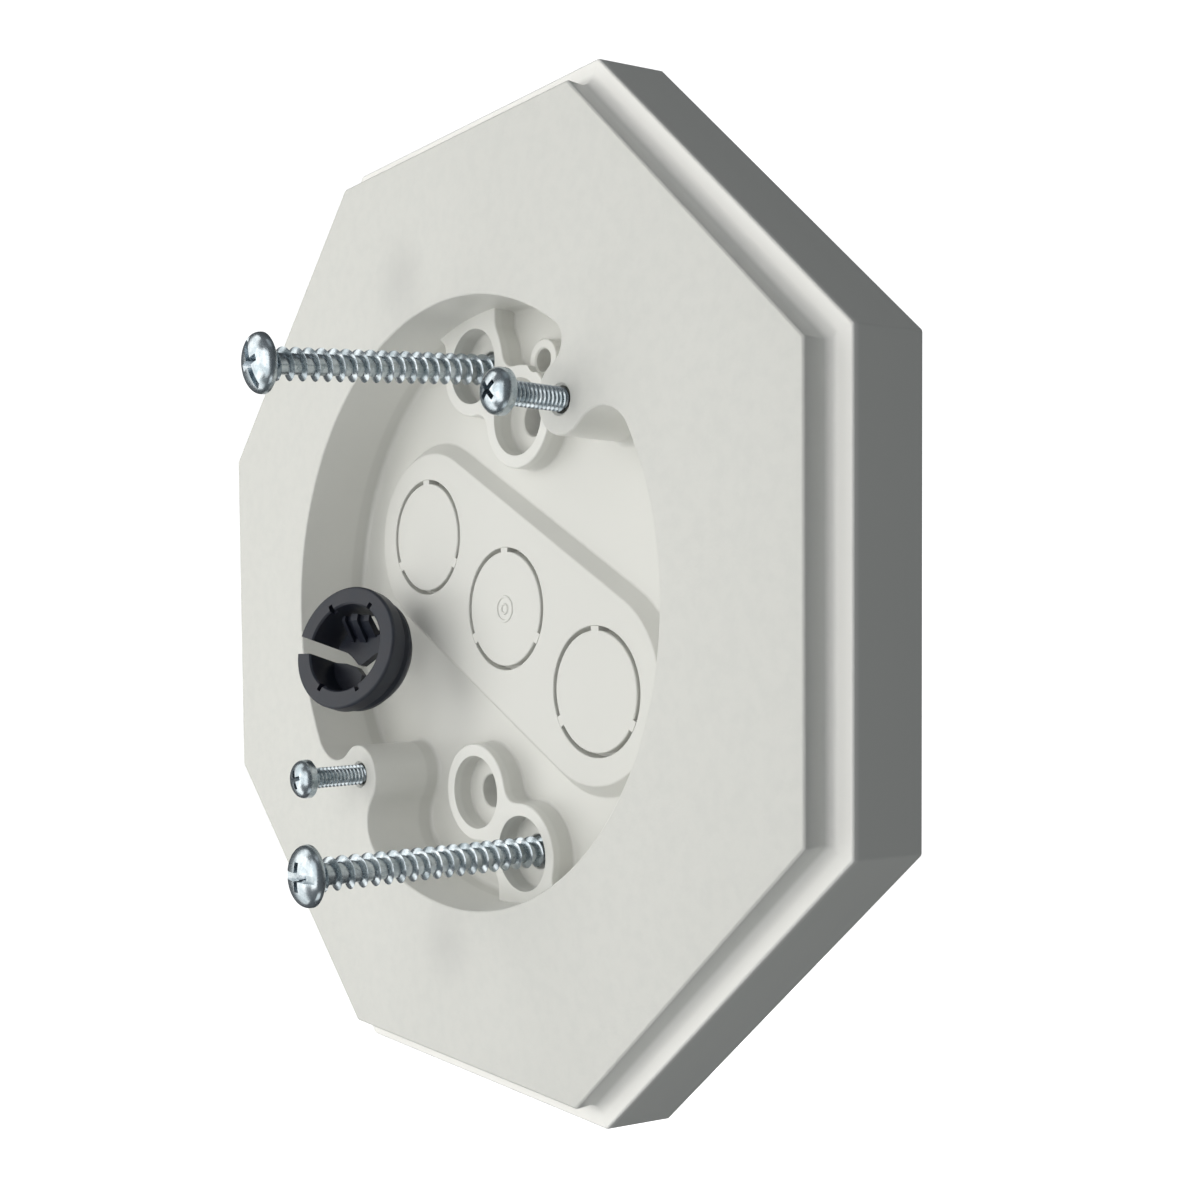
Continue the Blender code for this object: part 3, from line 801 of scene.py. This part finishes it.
def helical_mesh(name, length, root_r, crest_r, pitch, shape, count=36):
    """The thread as rows that follow the helix, so each row's end meets the row one turn below its start."""
    top = 0.3
    per_turn = len(shape)
    turns = math.ceil((length + top) / pitch) + 2
    rows = turns * per_turn

    def vertex(row, i):
        share, rise = shape[row % per_turn]
        height = top + pitch - (row // per_turn + share + i / count) * pitch
        radius = root_r + (crest_r - root_r) * rise
        if height < -length + TIP_H:
            end_r = crest_r * (TIP_SHARE + (1 - TIP_SHARE) * max(0.0, height + length) / TIP_H)
            radius = min(radius, end_r)
        if height > -0.5:
            radius = root_r + (radius - root_r) * max(0.0, -height / 0.5)
        if height >= top:
            height = top
            radius = root_r
        if height <= -length:
            height = -length
            radius = crest_r * TIP_SHARE
        angle = -math.tau * i / count
        return (radius * math.cos(angle), radius * math.sin(angle), height)

    verts = [vertex(row, i) for row in range(rows) for i in range(count)]
    faces = []
    for row in range(rows - 1):
        for i in range(count):
            a = row * count + i
            b = a + 1
            if i == count - 1:
                b = (row + per_turn) * count
            c = b + count
            if c < len(verts):
                faces.append((a, b, c, a + count))
    mesh = bpy.data.meshes.new(name)
    mesh.from_pydata(verts, [], faces)
    work = bmesh.new()
    work.from_mesh(mesh)
    bmesh.ops.remove_doubles(work, verts=work.verts, dist=0.001)
    bmesh.ops.dissolve_degenerate(work, edges=work.edges, dist=0.0005)
    open_edges = [edge for edge in work.edges if len(edge.link_faces) == 1]
    bmesh.ops.holes_fill(work, edges=open_edges, sides=0)
    bmesh.ops.recalc_face_normals(work, faces=work.faces)
    work.to_mesh(mesh)
    work.free()
    return mesh


def pan_head(name, radius, height, rim):
    profile = [(0.35, height)]
    for i in range(1, 15):
        turn = math.pi / 2 * i / 14
        across = math.sin(turn) ** 0.88
        profile.append((radius * across, rim + (height - rim) * math.cos(turn) ** 0.88))
    profile += [(radius, 0.25), (radius - 0.25, 0.0)]
    return turned(name, ORIGIN, profile, 72)


def drive_cutters(height, size, slotted, spin):
    """Cross recess, with a screwdriver slot across the whole head when it is slotted."""
    spun = Matrix.Rotation(spin, 4, "Z")
    raised = Matrix.Translation((0.0, 0.0, height + 0.3))
    cutters = []
    for quarter in (0, 1):
        turn = spun @ Matrix.Rotation(math.pi / 2 * quarter, 4, "Z") @ raised
        wide = (size * 1.12, size * 0.24)
        narrow = (size * 0.30, size * 0.17)
        cutters.append(tapered("wing", wide, narrow, height * 0.86, turn))
    if slotted:
        lift = Matrix.Translation((0.0, 0.0, height - SLOT_DEPTH + SLOT[2] / 2))
        cutters.append(block("slot", SLOT, spun @ lift))
    return cutters


def make_screw(name, node, body, kind, matrix, material, spin):
    size = SCREWS[kind]
    shank = helical_mesh(
        "shank", size["length"], size["root_r"], size["crest_r"], size["pitch"], size["shape"]
    )
    screw = combined(pan_head("head", size["head_r"], size["head_h"], size["rim"]), shank, "UNION")
    for cutter in drive_cutters(size["head_h"], size["head_r"], kind == "mounting", spin):
        screw = combined(screw, cutter, "DIFFERENCE")
    show(screw, name, PLAN @ matrix, body, material, [node], 40)


def make_screws(material):
    wide = hole_centres(WIDE_SPACING, WIDE_HOLE_ANGLE)
    fixture = hole_centres(WIDE_SPACING, FIXTURE_ANGLE)
    pivot_h = COUNTERBORE_H / 2
    screws = [
        ("lower", "mounting", wide[0], MOUNTING_HEAD_H, LOWER_SCREW_LEAN, 0),
        ("upper", "mounting", wide[1], MOUNTING_HEAD_H, UPPER_SCREW_LEAN, 105),
        ("upper", "fixture", fixture[0], FIXTURE_HEAD_H, 0.0, 40),
        ("lower", "fixture", fixture[1], FIXTURE_HEAD_H, 0.0, 15),
    ]
    for place, kind, centre, head_h, lean, spin in screws:
        matrix = Matrix.Translation((centre.x, centre.y, pivot_h)) @ Matrix.Rotation(lean, 4, "X")
        matrix = matrix @ Matrix.Translation((0.0, 0.0, head_h - pivot_h))
        name = f"{kind}_pan_screw_{place}"
        node = f"{kind}_screw_{place}"
        make_screw(name, node, f"{place}_{kind}_screw", kind, matrix, material, math.radians(spin))


# ---------------------------------------------------------------- cable connector

def flat_piece(name, points, low, high):
    return lofted(name, [([Vector(p) for p in points], high), ([Vector(p) for p in points], low)])


def connector_place():
    turn = Matrix.Rotation(CONNECTOR_TURN, 4, "Y") @ Matrix.Rotation(CONNECTOR_PITCH, 4, "X")
    return PLAN @ Matrix.Translation(CONNECTOR_AT) @ turn


def make_connector_body(material):
    loop = [(BORE_R, -0.3), (BORE_R + 0.3, 0.0)] + top_round(FLANGE_R, 0.0, 0.6, 5)
    loop += [(FLANGE_R, 0.3 - FLANGE_T), (FLANGE_R - 0.3, -FLANGE_T), (BARREL_R, -FLANGE_T)]
    loop += [(BARREL_R, -5.1), (SNAP_R, -5.7), (SNAP_R, -6.4), (BARREL_R - 1.0, -BARREL_L)]
    loop.append((BORE_R, -BARREL_L))
    body = tube("ring", loop)
    edge = [(-1.7, -8.4), (-0.7, -5.8), (-0.6, -3.9), (-2.4, -2.3), (-4.9, -1.7), (-8.6, -1.5)]
    start = math.atan2(-1.5, -8.6) % math.tau + 0.03
    end = math.atan2(-8.4, -1.7) % math.tau - 0.03
    buried = arc(ORIGIN, BORE_R + 0.8, start, end, 16)
    body = combined(body, flat_piece("web", edge + buried, -BARREL_L + 0.05, WEB_TOP), "UNION")
    split = [(-15.0, -1.5), (-8.6, -1.35), (-6.5, -1.3), (-6.5, 0.8), (-8.4, 1.3), (-15.0, 3.0)]
    body = combined(body, flat_piece("split", split, -BARREL_L - 2, 2.0), "DIFFERENCE")
    notches = []
    for degrees in NOTCH_ANGLES:
        turn = Matrix.Rotation(math.radians(degrees), 4, "Z")
        notches.append(block("notch", NOTCH, turn @ Matrix.Translation((BORE_R, 0.0, 0.0))))
    body = combined(body, together("notches", notches), "DIFFERENCE")
    show(
        body, "connector_ring", connector_place(), "connector", material,
        ["cable_connector_body"],
    )


def make_connector_tongue(material):
    edge = [(-7.9, 1.2), (-5.1, 0.4), (-3.9, -0.3), (-1.9, -1.9), (-1.1, -1.9), (2.0, 0.3), (6.9, 2.6)]
    top = [(6.4, 4.2), (-6.4, 4.2), (-7.2, 2.8)]
    tongue = flat_piece("flap", edge + top, -BARREL_L + 0.1, WEB_TOP)
    upright = Matrix(((0, 0, 1, 0), (1, 0, 0, 0), (0, 1, 0, 0), (0, 0, 0, 1)))
    plate = [(3.0, -8.2), (3.0, -7.6), (6.2, -3.9), (7.4, -3.9), (7.4, -4.3), (5.2, -7.2), (5.2, -8.2)]
    rib = [(2.6, -8.0), (2.6, -6.6), (6.1, -2.95), (7.4, -2.95), (7.4, -4.1), (4.0, -8.0)]
    for points, low, high in ((plate, -4.55, 1.55), (rib, -4.5, -3.7), (rib, -2.2, -0.6)):
        mesh = flat_piece("root", points, low, high)
        mesh.transform(upright)
        tongue = combined(tongue, mesh, "UNION")
    limit = turned("limit", ORIGIN, [(TONGUE_R, 1.0), (TONGUE_R, -BARREL_L - 1)], 96)
    tongue = combined(tongue, limit, "INTERSECT")
    show(
        tongue, "connector_tongue", connector_place(), "connector_tongue", material,
        ["cable_connector_tongue"],
    )


# ---------------------------------------------------------------- stage

def area_light(name, place, target, size, power, colour):
    data = bpy.data.lights.new(name, "AREA")
    data.shape = "RECTANGLE"
    data.size, data.size_y = size
    data.energy = power
    data.color = colour
    lamp = bpy.data.objects.new(name, data)
    bpy.context.scene.collection.objects.link(lamp)
    lamp.location = place
    lamp.rotation_mode = "QUATERNION"
    lamp.rotation_quaternion = (Vector(target) - Vector(place)).to_track_quat("-Z", "Y")


def make_stage():
    """A plain pale floor that curves up into a backdrop all round the block."""
    profile = [(0.0, 0.0)]
    for i in range(13):
        turn = math.pi / 2 * i / 12
        reach = FLOOR_FLAT_R + FLOOR_CURVE_R * math.sin(turn)
        profile.append((reach, FLOOR_CURVE_R * (1 - math.cos(turn))))
    profile.append((FLOOR_FLAT_R + FLOOR_CURVE_R, BACKDROP_H))
    work = bmesh.new()
    points = [work.verts.new((reach, 0.0, FLOOR_Z + height)) for reach, height in profile]
    edges = [work.edges.new(pair) for pair in zip(points, points[1:])]
    bmesh.ops.spin(
        work, geom=points + edges, cent=(0.0, 0.0, 0.0), axis=(0.0, 0.0, 1.0),
        angle=math.tau, steps=96, use_merge=True,
    )
    bmesh.ops.remove_doubles(work, verts=work.verts, dist=1e-5)
    mesh = bpy.data.meshes.new("studio_floor")
    work.to_mesh(mesh)
    work.free()
    mesh.shade_smooth()
    floor = bpy.data.objects.new("studio_floor", mesh)
    bpy.context.scene.collection.objects.link(floor)
    nodes = Nodes("pale_paper")
    nodes.shader.inputs["Base Color"].default_value = (0.9, 0.9, 0.9, 1.0)
    nodes.shader.inputs["Roughness"].default_value = 0.9
    nodes.shader.inputs["Emission Color"].default_value = (1.0, 1.0, 1.0, 1.0)
    nodes.shader.inputs["Emission Strength"].default_value = 1.0
    mesh.materials.append(nodes.material)
    floor.visible_diffuse = False
    floor.visible_glossy = False
    floor.visible_shadow = False

    make_world()
    for light in LIGHTS:
        area_light(*light)
    bpy.context.scene.view_settings.view_transform = "Standard"


def make_world():
    """A surround that is brighter in front of the wall than behind it."""
    world = bpy.data.worlds.new("studio")
    world.use_nodes = True
    bpy.context.scene.world = world
    tree = world.node_tree
    place = tree.nodes.new("ShaderNodeTexCoord")
    parts = tree.nodes.new("ShaderNodeSeparateXYZ")
    tree.links.new(place.outputs["Generated"], parts.inputs[0])
    strength = tree.nodes.new("ShaderNodeMapRange")
    tree.links.new(parts.outputs["Y"], strength.inputs["Value"])
    for key, value in zip(("From Min", "From Max", "To Min", "To Max"), (-1.0, 1.0, 0.25, 0.04)):
        strength.inputs[key].default_value = value
    background = tree.nodes["Background"]
    background.inputs["Color"].default_value = (0.92, 0.97, 1.0, 1.0)
    tree.links.new(strength.outputs["Result"], background.inputs["Strength"])


def make_camera():
    back = Vector((
        math.sin(CAMERA_AZIMUTH) * math.cos(CAMERA_ELEVATION),
        -math.cos(CAMERA_AZIMUTH) * math.cos(CAMERA_ELEVATION),
        math.sin(CAMERA_ELEVATION),
    ))
    right = Vector((math.cos(CAMERA_AZIMUTH), math.sin(CAMERA_AZIMUTH), 0.0))
    up = back.cross(right)
    tilted_right = right * math.cos(CAMERA_ROLL) + up * math.sin(CAMERA_ROLL)
    tilted_up = up * math.cos(CAMERA_ROLL) - right * math.sin(CAMERA_ROLL)
    rotation = Matrix((tilted_right, tilted_up, back)).transposed()
    data = bpy.data.cameras.new("camera")
    data.lens = CAMERA_LENS
    data.sensor_width = 36.0
    data.shift_x, data.shift_y = CAMERA_SHIFT
    data.clip_start = 0.01
    camera = bpy.data.objects.new("camera", data)
    bpy.context.scene.collection.objects.link(camera)
    camera.matrix_world = Matrix.Translation(CAMERA_AT) @ rotation.to_4x4()
    bpy.context.scene.camera = camera


def main():
    plastic = moulded_plastic()
    zinc = zinc_steel()
    black = black_plastic()
    make_block(plastic)
    make_knockouts(plastic)
    make_screws(zinc)
    make_connector_body(black)
    make_connector_tongue(black)
    make_stage()
    make_camera()


main()
